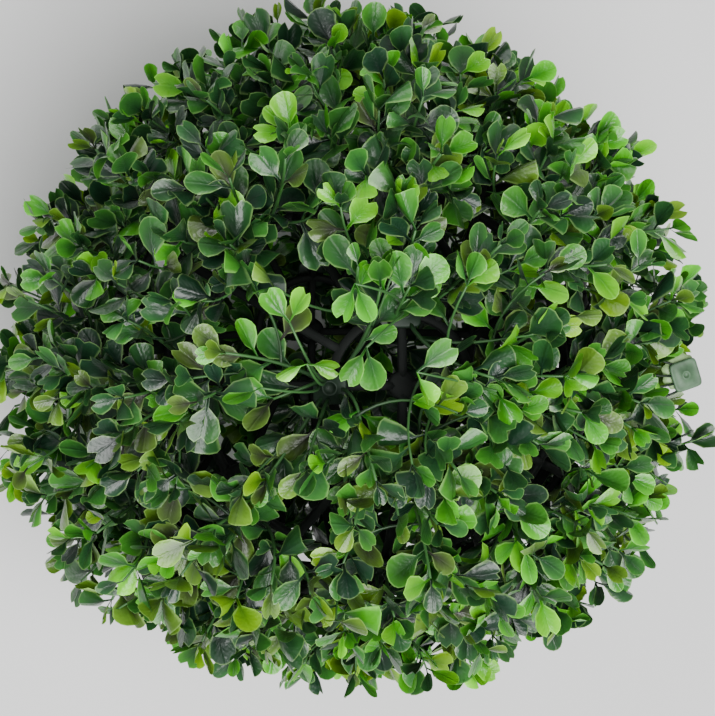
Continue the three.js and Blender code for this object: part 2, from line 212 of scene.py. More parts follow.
# The leaves: size, the rows and columns of their grid, how long they are at the edges and how much
# longer in the middle, and how many have a notched tip
LEAF_LENGTH = 16.5 * MM
LEAF_WIDTH = 0.62
LEAF_THICKNESS = 0.5 * MM
LEAF_ROWS = np.array([0.0, 0.34, 0.66, 1.0])
LEAF_WIDTHS = np.array([0.08, 0.12, 0.78, 1.0])
LEAF_COLUMNS = np.sin(np.linspace(-math.pi / 2, math.pi / 2, 9))
EDGE_LENGTH, TIP_ROUNDNESS = 0.67, 0.33
NOTCHED_SHARE = 0.5
NOTCH_DEPTH = (0.10, 0.22)
NOTCH_STEEPNESS = 2.5

# How much of a leaf's change of colour goes along it and across it, and how late along it
COLOUR_ALONG, COLOUR_ACROSS, COLOUR_LATE = 0.62, 0.38, 1.3

# Where a leaf's outline is, across and along it
OUTLINE_FROM, OUTLINE_ROOT = 0.999, 0.001

# How leaves differ: least and most width, and the middle and spread of every other measure
LEAF_WIDTH_RANGE = (0.82, 1.14)
LEAF_FACING = (0, 0.42)
LEAF_FOLD = (0.24, 0.18)
LEAF_CUP = (-0.42, 0.34)
LEAF_BEND = (-0.04, 0.14)
LEAF_TWIST = (0, 0.2)

# Pairs of leaves along a stem: how much their place and turn differ, the share that is missing, how
# far they lean, and their least size, how much larger they may be and how that chance is spread
PAIR_CHANCE = 0.04
PAIR_TURN_CHANCE = 0.3
PAIR_MISSING = 0.08
PAIR_LEAN = (0.6, 1.25)
PAIR_SIZE = (0.62, 0.55)
PAIR_SIZE_SHAPE = (2.2, 1.8)

# The cluster at a stem's end, in the same way: two to four leaves, which may go a little past the
# spray's reach
END_COUNT = (2, 5)
END_TURN_CHANCE = 0.2
END_LEAN = (0.3, 0.95)
END_SIZE = (0.5, 0.55)
END_SIZE_SHAPE = (1.8, 1.8)
END_ROOM = 0.12

# Room that leaves keep from the post, the floor and the frame, and how far past the ball they may go
POST_ROOM = 10.5 * MM
FLOOR_ROOM = 0.8 * MM
FRAME_ROOM = 1 * MM
LEAF_PAST = 2 * MM

# The photograph's frame and the ball's place in it
PHOTO_WIDTH, PHOTO_HEIGHT = 715, 716
BALL_PIXELS = 740
BALL_MIDDLE = (351, 355)
CAMERA_DISTANCE = 0.75
CAMERA_ELEVATION = math.radians(77.4)
CAMERA_TURN = math.radians(149)
SENSOR = 36.0

# The studio: half the floor's side, and each light's name, place, size and power
FLOOR_REACH = 12.0
FLOOR_PAINT = (0.9, 0.9, 0.9, 1)
FLOOR_ROUGHNESS = 0.9
SKY_STRENGTH = 0.40
LIGHTS = (
    ("overhead", (0.16, -0.34, 1.47), 1.2, 32),
    ("side", (-0.7, 0.7, 1.15), 0.8, 5),
)

# Repeatable chance, here and in the part's own rule
RNG = np.random.default_rng(20)
WORD = 0xFFFFFFFF
SEED_FACTOR = 2654435761
SEED_STEP = 0x6D2B79F5


def linear(red, green, blue):
    """A colour given as sRGB numbers from 0 to 255, as linear light."""
    share = np.array([red, green, blue]) / 255
    low = share / 12.92
    high = ((share + 0.055) / 1.055) ** 2.4
    return tuple(float(value) for value in np.where(share <= 0.04045, low, high))


# Leaf colours: name, colour at the root, colour at the edge, and how many leaves in a hundred
# have it low on a stem, half way and at its end. The darker mix low on a stem, deep in the ball,
# is painted shade
LEAF_COLOURS = (
    ("deep", linear(14, 35, 25), linear(28, 64, 38), (26, 13, 6)),
    ("dark", linear(21, 50, 30), linear(42, 92, 42), (30, 25, 15)),
    ("green", linear(27, 66, 33), linear(54, 118, 42), (22, 26, 22)),
    ("mid", linear(34, 84, 33), linear(69, 147, 38), (9, 16, 20)),
    ("bright", linear(38, 110, 20), linear(86, 188, 26), (3, 7, 17)),
    ("lime", linear(62, 146, 16), linear(124, 216, 24), (1, 3, 11)),
    ("olive", linear(50, 76, 30), linear(104, 150, 38), (4, 5, 5)),
    ("dusky", linear(44, 46, 36), linear(88, 122, 42), (8, 6, 4)),
    ("golden", linear(66, 112, 10), linear(136, 190, 14), (1, 2, 4)),
)
LEAF_SLOTS = {
    "deep": "leaf_dark",
    "dark": "leaf_dark",
    "green": "leaf_mid",
    "mid": "leaf_mid",
    "bright": "leaf_bright",
    "lime": "leaf_bright",
    "olive": "leaf_olive",
    "dusky": "leaf_olive",
    "golden": "leaf_bright",
}

# How likely a colour is on a spray, and how much likelier by each side that the spray faces. More
# dark and dusky leaves and fewer bright and lime ones on the shaded side are painted shade; more
# lime, bright, olive and golden leaves on the two sides facing +X just below the level are a
# painted glow of light shining through the leaves at the ball's edge; the olive side's weights are
# the leaves' own colour
TINTS = {
    "deep": (1.0, {"shaded": 0.8}),
    "dark": (1.0, {"shaded": 0.8}),
    "green": (1.0, {}),
    "mid": (1.0, {}),
    "bright": (1.1, {"shaded": -0.8, "backlit_glow": 0.6}),
    "lime": (1.1, {"shaded": -0.8, "backlit_glow": 0.6}),
    "olive": (0.7, {"backlit_glow": 2.5, "olive": 4.0}),
    "dusky": (0.35, {"shaded": 1.3, "olive": 1.5}),
    "golden": (0.1, {"golden": 6.0, "olive": 1.5}),
}

# The belt of golden leaves round the ball's edge, a painted glow of light shining through the
# leaves there: how much likelier, how high and how narrow it is
PAINTED_RIM_GLOW = 3.5
BELT_LEVEL = -0.1
BELT_POWER = 8

# Where sprays of one tone are: each side's middle and how narrow it is. Leaves made darker on the
# shaded side are painted shade, and those made lighter on the bright and sunny sides are painted
# light. The two sides facing +X just below the level paint a glow of light shining through the
# leaves at the ball's edge, and the olive side is the leaves' own colour
SIDES = {
    "shaded": ((-0.74, 0.20, 0.64), 2),
    "bright": ((-0.31, 0.32, 0.90), 6),
    "sunny": ((-0.12, -0.58, 0.80), 3),
    "olive": ((-0.50, -0.70, 0.45), 2),
    "backlit_glow": ((0.88, 0.45, -0.10), 2),
    "golden": ((0.90, 0.42, -0.15), 3),
}

# How far along a stem leaves are always dark, half way and at the end, and how many leaves are
# darker on the shaded side and lighter on the bright and sunny ones. The always dark leaves deep in
# the ball and the darker ones are painted shade, and the lighter ones are painted light
PAINTED_SHADE_REACH = 0.36
HALF_WAY = 0.62
AT_END = 0.9
PAINTED_SHADE_SHARE = 0.9
PAINTED_LIGHT_SHARE = 1.1

# Other colours, each at the root and at the edge
# The frame and post colour is partly the dark plastic's own grey and partly painted shade inside the
# ball
FRAME_GREYS_AND_SHADE = (linear(14, 19, 16),) * 2
HUB_GREENS = (linear(26, 43, 30),) * 2
PLATE_GREENS = (linear(78, 108, 80),) * 2
WIRE_GREENS = (linear(16, 36, 20),) * 2
STEM_GREENS = (linear(30, 58, 30), linear(58, 104, 50))
FRILL_GREENS = (linear(70, 110, 70), linear(150, 184, 124))

# All plastic: its finish, between which shares its colour changes, and its mottle
PLASTIC_IOR = 1.5
COAT_ROUGHNESS = 0.2
COLOUR_CHANGE = (0.1, 0.9)
MOTTLE_SCALE, MOTTLE_DETAIL = 200.0, 3.0
MOTTLE_SPREAD = (0.3, 0.7)

# A leaf: its gloss, how its tone differs, the pale line along its edge, partly the edge's own paler
# plastic and partly a painted highlight of light through the thin rim, and where that starts across
# and along it, and its relief
LEAF_ROUGHNESS = 0.31
LEAF_COAT = 0.15
LEAF_TONES = (0.70, 1.20)
PALE_EDGE_AND_HIGHLIGHT = (0.13, 0.21, 0.065)
LINE_ACROSS, LINE_ALONG = 0.93, 0.96
GROOVE_DEPTH, GROOVE_WIDTH = -0.7, 0.2
VEIN_SLANT, VEIN_PITCH, VEIN_DEPTH = 0.45, 46.0, 0.05
UNEVENNESS, UNEVEN_SCALE, UNEVEN_DETAIL = 1.6, 260.0, 2.0
RELIEF, RELIEF_STRENGTH = 0.0006, 0.45


def unit(vectors):
    """Each vector divided by its own length."""
    vectors = np.asarray(vectors, float)
    return vectors / np.maximum(np.linalg.norm(vectors, axis=-1, keepdims=True), 1e-12)


def on_sphere(theta, phi):
    """The direction at angle theta from the top pole and phi round it."""
    theta, phi = np.broadcast_arrays(theta, phi)
    flat = np.sin(theta)
    return np.stack([flat * np.cos(phi), flat * np.sin(phi), np.cos(theta)], -1)


def source_chance(seed):
    """The part's own repeatable random numbers from 0 to 1, so that each spray here has the same
    length and its main stems the same turn as in the part."""
    state = (seed * SEED_FACTOR) & WORD
    while True:
        state = (state + SEED_STEP) & WORD
        t = state
        t = ((t ^ (t >> 15)) * (t | 1)) & WORD
        t ^= (t + (((t ^ (t >> 7)) * (t | 61)) & WORD)) & WORD
        yield ((t ^ (t >> 14)) & WORD) / (WORD + 1)


# Meshes


class Shape:
    """Vertices and four-cornered faces gathered from many grids, to make one mesh of them."""

    def __init__(self):
        self.points = []
        self.faces = []
        self.shares = []
        self.blades = []
        self.count = 0

    def add(self, points, faces, share=None, blade=None):
        """Adds a grid. Share says how near each point is to the tip colour, from 0 to 1, and blade
        its place across and along a leaf and that leaf's own number."""
        points = np.asarray(points, float).reshape(-1, 3)
        faces = np.asarray(faces).reshape(-1, 4)
        self.points.append(points)
        self.faces.append(faces + self.count)
        self.shares.append(np.zeros(len(points)) if share is None else share)
        self.blades.append(np.zeros((len(points), 3)) if blade is None else blade)
        self.count += len(points)


def make_piece(name, shape, material, slot, *nodes):
    """One mesh object at the origin from a Shape, with its place in its mesh. It is smooth all over
    but for the edges between two points of a leaf's outline, where front and back meet."""
    points = np.concatenate(shape.points)
    faces = np.concatenate(shape.faces)
    blades = np.concatenate(shape.blades)
    mesh = bpy.data.meshes.new(name)
    mesh.vertices.add(len(points))
    mesh.vertices.foreach_set("co", points.astype(np.float32).ravel())
    mesh.loops.add(faces.size)
    mesh.loops.foreach_set("vertex_index", faces.astype(np.int32).ravel())
    mesh.polygons.add(len(faces))
    mesh.polygons.foreach_set("loop_start", np.arange(0, faces.size, 4, dtype=np.int32))
    mesh.polygons.foreach_set("use_smooth", np.ones(len(faces), bool))
    share = mesh.attributes.new("share", "FLOAT", "POINT")
    share.data.foreach_set("value", np.concatenate(shape.shares).astype(np.float32))
    blade = mesh.attributes.new("blade", "FLOAT_VECTOR", "POINT")
    blade.data.foreach_set("vector", blades.astype(np.float32).ravel())
    mesh.update(calc_edges=True)
    mesh.validate()
    across, onwards, _ = np.abs(blades).T
    outline = (across > OUTLINE_FROM) | (onwards > OUTLINE_FROM)
    outline = outline | ((onwards < OUTLINE_ROOT) & (across > 0))
    ends = np.empty(2 * len(mesh.edges), np.int32)
    mesh.edges.foreach_get("vertices", ends)
    mesh.edges.foreach_set("use_edge_sharp", outline[ends.reshape(-1, 2)].all(1))
    mesh.materials.append(material)
    piece = bpy.data.objects.new(name, mesh)
    bpy.context.scene.collection.objects.link(piece)
    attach(piece, "root")
    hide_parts(*nodes)


def grid_faces(rows, columns, wrapped):
    """The faces of a grid of points, row by row. A wrapped grid's last column meets its first."""
    row = np.arange(rows - 1)[:, None]
    column = np.arange(columns if wrapped else columns - 1)[None, :]
    after = (column + 1) % columns
    corners = (row * columns + column, row * columns + after)
    above = ((row + 1) * columns + after, (row + 1) * columns + column)
    return np.stack(np.broadcast_arrays(*corners, *above), -1).reshape(-1, 4)


def all_round(count):
    """Turns spaced evenly all round, from 0."""
    return np.linspace(0, FULL_TURN, count, endpoint=False)


def squared(wave, power):
    """A sine or cosine with its size raised to a power and its sign kept. A power of 1 leaves a
    circle round, and a small one makes it nearly square."""
    return np.sign(wave) * np.abs(wave) ** power


def curve(start, middle, end, steps):
    """Points on a quadratic curve: the start, twice the middle and the end, weighed by the squares
    and product of the shares still to go and gone."""
    t = np.linspace(0, 1, steps)[:, None]
    return (1 - t) ** 2 * start + 2 * t * (1 - t) * middle + t ** 2 * end


def add_tubes(shape, paths, radii, sides):
    """Tubes with round ends. Each is a ring of the given number of sides carried along its path:
    a point is the path's point plus its radius times the cosine and sine of the turn along the
    two directions square to the path. Paths is tubes by points by 3, radii is tubes by points."""
    tubes, steps, _ = paths.shape
    tangent = unit(np.gradient(paths, axis=1))
    first = unit(np.cross(tangent, [0.31, 0.53, 0.79]))
    second = np.cross(tangent, first)
    before = paths[:, :1] - tangent[:, :1] * radii[:, :1, None] * 0.4
    beyond = paths[:, -1:] + tangent[:, -1:] * radii[:, -1:, None] * 0.6
    paths = np.concatenate([before, paths, beyond], 1)
    first = np.concatenate([first[:, :1], first, first[:, -1:]], 1)
    second = np.concatenate([second[:, :1], second, second[:, -1:]], 1)
    radii = np.concatenate([radii[:, :1] * 1e-3, radii, radii[:, -1:] * 1e-3], 1)
    turn = all_round(sides)
    points = (
        paths[:, :, None]
        + radii[:, :, None, None] * np.cos(turn)[None, None, :, None] * first[:, :, None]
        + radii[:, :, None, None] * np.sin(turn)[None, None, :, None] * second[:, :, None]
    )
    faces = grid_faces(steps + 2, sides, True)
    each = (steps + 2) * sides
    share = np.broadcast_to(np.linspace(0, 1, steps + 2)[None, :, None], points.shape[:3])
    shape.add(points, faces[None] + np.arange(tubes)[:, None, None] * each, share.ravel())


def add_bar(shape, centres, outwards, closed):
    """A lattice bar: a rounded box section carried along an arc. The section is a superellipse,
    half a bar wide along the arc's side and half a bar deep along the way outwards."""
    if closed:
        tangent = unit(np.roll(centres, -1, 0) - np.roll(centres, 1, 0))
    else:
        tangent = unit(np.gradient(centres, axis=0))
    side = unit(np.cross(tangent, outwards))
    turn = all_round(BAR_SIDES)
    across = squared(np.cos(turn), BAR_SQUARENESS) * BAR_WIDTH / 2
    deep = squared(np.sin(turn), BAR_SQUARENESS) * BAR_DEPTH / 2
    scale = np.ones(len(centres))
    if not closed:
        centres = np.concatenate([centres[:1], centres, centres[-1:]])
        side = np.concatenate([side[:1], side, side[-1:]])
        outwards = np.concatenate([outwards[:1], outwards, outwards[-1:]])
        scale = np.concatenate([[1e-3], scale, [1e-3]])
    points = (
        centres[:, None]
        + scale[:, None, None] * across[None, :, None] * side[:, None]
        + scale[:, None, None] * deep[None, :, None] * outwards[:, None]
    )
    faces = grid_faces(len(centres), BAR_SIDES, True)
    if closed:
        last = (len(centres) - 1) * BAR_SIDES
        column = np.arange(BAR_SIDES)
        after = (column + 1) % BAR_SIDES
        join = np.stack([last + column, last + after, after, column], -1)
        faces = np.concatenate([faces, join])
    shape.add(points, faces)


def add_plate(shape, rows, sides, thickness, middle, axes):
    """A square plate with round corners. Each row is a superellipse across the plate's first two
    axes, at its own height along the third."""
    share, level, power = np.array(rows).T[..., None]
    turn = all_round(sides)
    across = squared(np.cos(turn), power) * share * HUB_SIDE / 2
    along = squared(np.sin(turn), power) * share * HUB_SIDE / 2
    height = level * thickness + 0 * turn
    points = sum(part[..., None] * axis for part, axis in zip((across, along, height), axes))
    shape.add(middle + points, grid_faces(len(rows), sides, True))


# Materials


def attribute(tree, name, output):
    """What a mesh's attribute holds."""
    node = tree.nodes.new("ShaderNodeAttribute")
    node.attribute_name = name
    return node.outputs[output]


def noise(tree, scale, detail):
    """Noise over the object's own coordinates."""
    place = tree.nodes.new("ShaderNodeTexCoord")
    node = tree.nodes.new("ShaderNodeTexNoise")
    node.inputs["Scale"].default_value = scale
    node.inputs["Detail"].default_value = detail
    tree.links.new(place.outputs["Object"], node.inputs["Vector"])
    return node.outputs["Fac"]


def ranged(tree, source, given, wanted, way="SMOOTHSTEP"):
    """A value between the two given ones, taken to between the two wanted ones by a smooth step, or
    in a straight line where the way says so."""
    node = tree.nodes.new("ShaderNodeMapRange")
    node.interpolation_type = way
    for name, value in zip(("From Min", "From Max", "To Min", "To Max"), (*given, *wanted)):
        node.inputs[name].default_value = value
    tree.links.new(source, node.inputs["Value"])
    return node.outputs["Result"]


def worked_out(tree, kind, operation, *terms):
    """The result of a Math or Vector Math node. Each term is another node's output or a constant."""
    node = tree.nodes.new(kind)
    node.operation = operation
    sockets = (node.inputs[0], node.inputs["Scale"]) if operation == "SCALE" else node.inputs
    for socket, term in zip(sockets, terms):
        if isinstance(term, bpy.types.NodeSocket):
            tree.links.new(term, socket)
        else:
            socket.default_value = term
    return node.outputs[0]


def vector_maths(tree, operation, *terms):
    """The result of a Vector Math node."""
    return worked_out(tree, "ShaderNodeVectorMath", operation, *terms)


def maths(tree, operation, *terms):
    """The result of a Math node."""
    return worked_out(tree, "ShaderNodeMath", operation, *terms)


def moulded(name, root, tip, roughness, coat=0.0, mottle=0.1, gloss=0.5):
    """What all plastic has: a finish, and a colour that is the root colour plus a share of the way
    to the tip colour, by a smooth step of the mesh's own share, times a fine mottle. Gives the
    material, its node tree, its shader and that colour."""
    material = bpy.data.materials.new(name)
    material.use_nodes = True
    tree = material.node_tree
    shader = tree.nodes["Principled BSDF"]
    shader.inputs["Roughness"].default_value = roughness
    shader.inputs["IOR"].default_value = PLASTIC_IOR
    shader.inputs["Specular IOR Level"].default_value = gloss
    shader.inputs["Coat Weight"].default_value = coat
    shader.inputs["Coat Roughness"].default_value = COAT_ROUGHNESS

    share = ranged(tree, attribute(tree, "share", "Fac"), COLOUR_CHANGE, (0, 1))
    way = [end - start for start, end in zip(root, tip)]
    colour = vector_maths(tree, "MULTIPLY_ADD", share, way, root)
    grain = noise(tree, MOTTLE_SCALE, MOTTLE_DETAIL)
    spread = ranged(tree, grain, MOTTLE_SPREAD, (1 - mottle, 1 + mottle), "LINEAR")
    return material, tree, shader, vector_maths(tree, "SCALE", colour, spread)


def plastic(name, root, tip, **finish):
    """Plain moulded plastic."""
    material, tree, shader, colour = moulded(name, root, tip, **finish)
    tree.links.new(colour, shader.inputs["Base Color"])
    return material


def leaf_plastic(name, root, tip):
    """Moulded leaf plastic. To the plain plastic it adds what follows the blade: a tone of each
    leaf's own, a pale line along its edge that is partly the edge's own paler plastic and partly a
    painted highlight of light through the thin rim, and a relief of a groove at the midrib, of side
    veins that are a sine of the way along less half the way across, and of a fine unevenness."""
    material, tree, shader, colour = moulded(name, root, tip, LEAF_ROUGHNESS, LEAF_COAT)
    parts = tree.nodes.new("ShaderNodeSeparateXYZ")
    tree.links.new(attribute(tree, "blade", "Vector"), parts.inputs["Vector"])
    along = parts.outputs["Y"]
    across = maths(tree, "ABSOLUTE", parts.outputs["X"])
    tone = ranged(tree, parts.outputs["Z"], (0, 1), LEAF_TONES)
    # The pale edge line: partly the edge's own paler plastic, partly a painted highlight of light
    # through the thin rim
    side_line = ranged(tree, across, (LINE_ACROSS, 1), (0, 1))
    tip_line = ranged(tree, along, (LINE_ALONG, 1), (0, 1))
    line = maths(tree, "MAXIMUM", side_line, tip_line)
    colour = vector_maths(tree, "SCALE", colour, tone)
    colour = vector_maths(tree, "MULTIPLY_ADD", line, PALE_EDGE_AND_HIGHLIGHT, colour)
    tree.links.new(colour, shader.inputs["Base Color"])

    groove = ranged(tree, across, (0, GROOVE_WIDTH), (GROOVE_DEPTH, 0))
    slanted = maths(tree, "SUBTRACT", along, maths(tree, "MULTIPLY", across, VEIN_SLANT))
    wave = maths(tree, "SINE", maths(tree, "MULTIPLY", slanted, VEIN_PITCH))
    veins = maths(tree, "MULTIPLY", wave, VEIN_DEPTH)
    uneven = maths(tree, "MULTIPLY", noise(tree, UNEVEN_SCALE, UNEVEN_DETAIL), UNEVENNESS)
    height = maths(tree, "ADD", maths(tree, "ADD", groove, veins), uneven)
    bump = tree.nodes.new("ShaderNodeBump")
    bump.inputs["Strength"].default_value = RELIEF_STRENGTH
    bump.inputs["Distance"].default_value = RELIEF
    tree.links.new(height, bump.inputs["Height"])
    tree.links.new(bump.outputs["Normal"], shader.inputs["Normal"])
    return material


# The frame and the post


def frame_half(sign):
    """Rings are level circles on the sphere and ribs arcs of great circles from pole to rim. Four
    spokes reach the first ring, every second rib the second, and every rib the rim."""
    shape = Shape()
    middle = FRAME_RADIUS - BAR_DEPTH / 2

    def bar(theta, phi, closed):
        """A bar through the points of the shell at the given angles."""
        outwards = on_sphere(theta, phi) * [1, 1, sign]
        add_bar(shape, CENTRE + middle * outwards, outwards, closed)

    first, second, third = (math.radians(angle) for angle in RING_ANGLES)
    rim = math.pi / 2 - (BAR_WIDTH / 2 + RIM_GAP) / FRAME_RADIUS
    for theta in (first, second, third, rim):
        bar(np.full(RING_POINTS, theta), all_round(RING_POINTS), True)
    stretches = ((SPOKE_START, first), (first, second), (second, rim))
    counts = (SPRAYS_ON_RING[0], RIB_COUNT // 2, RIB_COUNT)
    for (start, end), count, steps in zip(stretches, counts, RIB_POINTS):
        for phi in FULL_TURN * np.arange(count) / count:
            bar(np.linspace(start, end, steps), np.full(steps, phi), False)
    add_pole_disc(shape, sign)
    return shape


def add_pole_disc(shape, sign):
    """The small round plate where the spokes meet: circles of growing radius over the front, round
    the edge and back over the inside."""
    rings = np.array(POLE_DISC) * MM
    around = all_round(DISC_SIDES)
    reach, height = rings[:, :1], FRAME_RADIUS + rings[:, 1:]
    points = np.stack(np.broadcast_arrays(
        reach * np.cos(around), reach * np.sin(around) * sign, height * sign,
    ), -1)
    shape.add(CENTRE + points, grid_faces(len(rings), DISC_SIDES, True))


def post_shape():
    """A turned post: its profile carried round the axis. The radius is a waist that tapers upwards,
    plus a foot that fades out by a soft step, plus level ridges that are a sine of the height."""
    height = POST_HIGH[2] - POST_LOW[2]
    t = np.linspace(0, 1, POST_LEVELS)
    foot = 1 / (1 + np.exp((t * height - FOOT_HEIGHT) / FOOT_SOFTNESS))
    radius = POST_RADIUS * (POST_WAIST - POST_TAPER * t + POST_FOOT * foot)
    radius = radius + RIDGE_DEPTH * np.sin(t * height / RIDGE_PITCH * FULL_TURN) * (1 - foot)
    level = POST_LOW[2] + t * height
    radius = np.concatenate([[1e-6], radius, [1e-6]])[:, None]
    level = np.concatenate([level[:1], level, level[-1:]])[:, None]
    turn = all_round(POST_SIDES)
    points = np.stack(np.broadcast_arrays(radius * np.cos(turn), radius * np.sin(turn), level), -1)
    shape = Shape()
    shape.add(points, grid_faces(len(radius), POST_SIDES, True))
    return shape


# The sprays


def spray_sites():
    """The name and axis of every spray, in the part's own order."""
    sites = []
    for half in ("upper", "lower"):
        for ring, (angle, count) in enumerate(zip(RING_ANGLES, SPRAYS_ON_RING)):
            theta = math.radians(angle if half == "upper" else 180 - angle)
            for k in range(count):
                name = f"spray_{RING_NAMES[half][ring]}_{k + 1:02d}"
                sites.append((name, on_sphere(theta, FULL_TURN * k / count)))
    return sites


def add_hub(shape, up, east, north):
    """A spray's square hub with a raised ring in its middle, and the peg under it."""
    middle = CENTRE + up * HUB_UNDERSIDE
    add_plate(shape, HUB_ROWS, HUB_SIDES, HUB_THICKNESS, middle, (east, north, up))
    low, high = FRAME_RADIUS - PEG_SUNK, HUB_UNDERSIDE + PEG_SUNK
    peg = np.stack([CENTRE + up * low, CENTRE + up * high])
    add_tubes(shape, peg[None], np.full((1, 2), BAR_WIDTH / 2), PEG_SIDES)


def add_loose_plate(plates, wires):
    """A spray's square plate lying loose at the side, with a round boss in its middle. Four thin
    wires run on quadratic curves from under its corners back into the ball."""
    up = unit(LOOSE_PLATE_FACING)
    east = unit(np.cross(LOOSE_PLATE_EDGE, up))
    north = np.cross(up, east)
    middle, axes = CENTRE + LOOSE_PLATE, (east, north, up)
    add_plate(plates, LOOSE_PLATE_ROWS, PLATE_SIDES, LOOSE_PLATE_THICKNESS, middle, axes)
    paths = []
    for (right, ahead), run in WIRES:
        corner = LOOSE_PLATE + (east * right + north * ahead) * WIRE_SPREAD - up * WIRE_DOWN
        end = corner + np.array(run) * MM
        arch = (corner + end) / 2 + np.array([0, run[1] * WIRE_ARCH_ASIDE, WIRE_ARCH]) * MM
        paths.append(curve(CENTRE + corner, CENTRE + arch, CENTRE + end, STEM_POINTS))
    radii = np.linspace(*WIRE_RADII, STEM_POINTS) * MM
    add_tubes(wires, np.array(paths), np.tile(radii, (len(paths), 1)), WIRE_SIDES)


def frill_shape():
    """The torn scrap of leaf under the loose plate: a flat sheet whose edge lies at the plate's
    half side times 1.05, plus a lobe on one side that waves eleven times in a turn."""
    up = unit(LOOSE_PLATE_FACING)
    east = unit(np.cross([0.0, 1.0, 0.0], up))
    north = np.cross(up, east)
    turn = all_round(FRILL_POINTS)
    lobe = np.clip(np.cos(turn - FRILL_TURN), 0, 1) ** FRILL_BLUNTNESS
    lobe = lobe * (FRILL_REACH + FRILL_WAVE * np.cos(FRILL_WAVES * turn))
    edge = HUB_SIDE / 2 * (FRILL_EDGE + lobe)
    rows = np.array(FRILL_ROWS)
    reach = rows[:, :1] * edge
    height = rows[:, 1:] * MM - FRILL_DOWN + 0 * turn
    points = (
        (reach * np.cos(turn))[..., None] * east
        + (reach * np.sin(turn))[..., None] * north
        + height[..., None] * up
    )
    shape = Shape()
    share = np.broadcast_to(rows[:, :1], height.shape).ravel()
    faces = grid_faces(len(rows), FRILL_POINTS, True)
    shape.add(CENTRE + LOOSE_PLATE + points, faces, share)
    return shape


def reach_towards(way):
    """How far the ball goes in each direction, as a share of its radius: 1 plus, for each bulge, its
    height times the bell of the angle between."""
    total = 1.0
    for middle, spread, height in BULGES:
        angle = np.degrees(np.arccos(np.clip(way @ unit(middle), -1, 1)))
        total = total + height * np.exp(-((angle / spread) ** 2))
    return total


def open_way(way):
    """How far a direction lies from the middle of the open place, where 1 is its edge, and which
    way that is. The place is an ellipse, so both are measured by its two half widths."""
    offset = way - unit(OPEN_MIDDLE)
    scaled = offset / [math.sin(OPEN_ALONG), math.sin(OPEN_ACROSS), 1.0]
    scaled[..., 2] = 0
    distance = np.linalg.norm(scaled, axis=-1)
    return np.where(way[..., 2] > 0, distance, 9.0), unit(scaled)


def hub_axes(up):
    """The level direction round the ball and the one up its side, square to a spray's axis."""
    east = unit([-up[1], up[0], 0.0])
    return east, np.cross(up, east)


def hub_start(up, side):
    """Where a stem leaves its hub: half way up the plate, a little to one side."""
    return up * (HUB_UNDERSIDE + HUB_THICKNESS / 2) + side * STEM_START


def stem_curves(up, number):
    """The stems of one spray. Main stems lean out as in the part, side twigs fork off them to lean
    out further, and inner stems stand up between them. Gives each one's curve, its kind and how
    many leaf lengths it ends short of the spray's reach, and that reach."""
    chance = source_chance(number)
    growth = SHORTEST_SPRAY + (1 - SHORTEST_SPRAY) * next(chance)
    first_turn = (next(chance) * 2 - 1) * math.pi
    east, north = hub_axes(up)
    reach = TIP_RADIUS * growth
    stems = []

    def grow(kind, turn, lean, start=None):
        """A quadratic curve from the hub or a fork, by a bulge a little below its way, to an end
        that is combed away from the open place by the bell of the distance from its middle."""
        short = RNG.uniform(*kind["short"])
        side = east * math.cos(turn) + north * math.sin(turn)
        way = up * math.cos(lean) + side * math.sin(lean)
        if start is None:
            start = hub_start(up, side)
        distance, outwards = open_way(way)
        way = unit(way + outwards * COMBED * math.exp(-((distance / COMBED_REACH) ** 2)))
        end = way * (reach * reach_towards(way) - short * LEAF_LENGTH)
        bulge = up * math.cos(lean * BULGE_LEAN) + side * math.sin(lean * BULGE_LEAN)
        bulge = bulge * (HUB_UNDERSIDE + BULGE_OUT * (reach - HUB_UNDERSIDE))
        bulge = bulge + RNG.normal(0, BULGE_CHANCE, 3)
        path = curve(CENTRE + start, CENTRE + bulge, CENTRE + end, STEM_POINTS)
        stems.append((path, kind, short))

    turns = np.arange(MAIN_STEMS) + RNG.uniform(-STEM_TURN_CHANCE, STEM_TURN_CHANCE, MAIN_STEMS)
    turns = first_turn + FULL_TURN * turns / MAIN_STEMS
    for turn in turns:
        grow(MAIN, turn, STEM_LEAN + RNG.uniform(-1, 1) * STEM_LEAN_CHANCE)
    count = UNDER_TWIGS if up[2] < UNDER_LEVEL else SIDE_TWIGS
    around = np.arange(count) + RNG.uniform(-TWIG_TURN_CHANCE, TWIG_TURN_CHANCE, count)
    for turn in first_turn + FULL_TURN * around / count:
        nearest = int(np.argmin(np.abs((turns - turn + math.pi) % FULL_TURN - math.pi)))
        fork = stems[nearest][0][RNG.integers(*FORK_POINTS)] - CENTRE
        grow(TWIG, turn, TWIG_LEAN + RNG.uniform(-1, 1) * TWIG_LEAN_CHANCE, fork)
    spin = RNG.uniform(0, FULL_TURN)
    for k in range(INNER_STEMS):
        turn = k + RNG.uniform(-INNER_TURN_CHANCE, INNER_TURN_CHANCE)
        turn = spin + FULL_TURN * turn / INNER_STEMS
        grow(INNER, turn, INNER_LEAN * RNG.uniform(*INNER_LEAN_RANGE))
    return stems, reach


def leaning(way, angle, lean):
    """A direction that leans off the given one: its cosine along it, and its sine square to it at
    an angle round it."""
    first = unit(np.cross(way, [0.3, 0.5, 0.81]))
    second = np.cross(way, first)
    out = first * math.cos(angle) + second * math.sin(angle)
    return unit(way * math.cos(lean) + out * math.sin(lean))


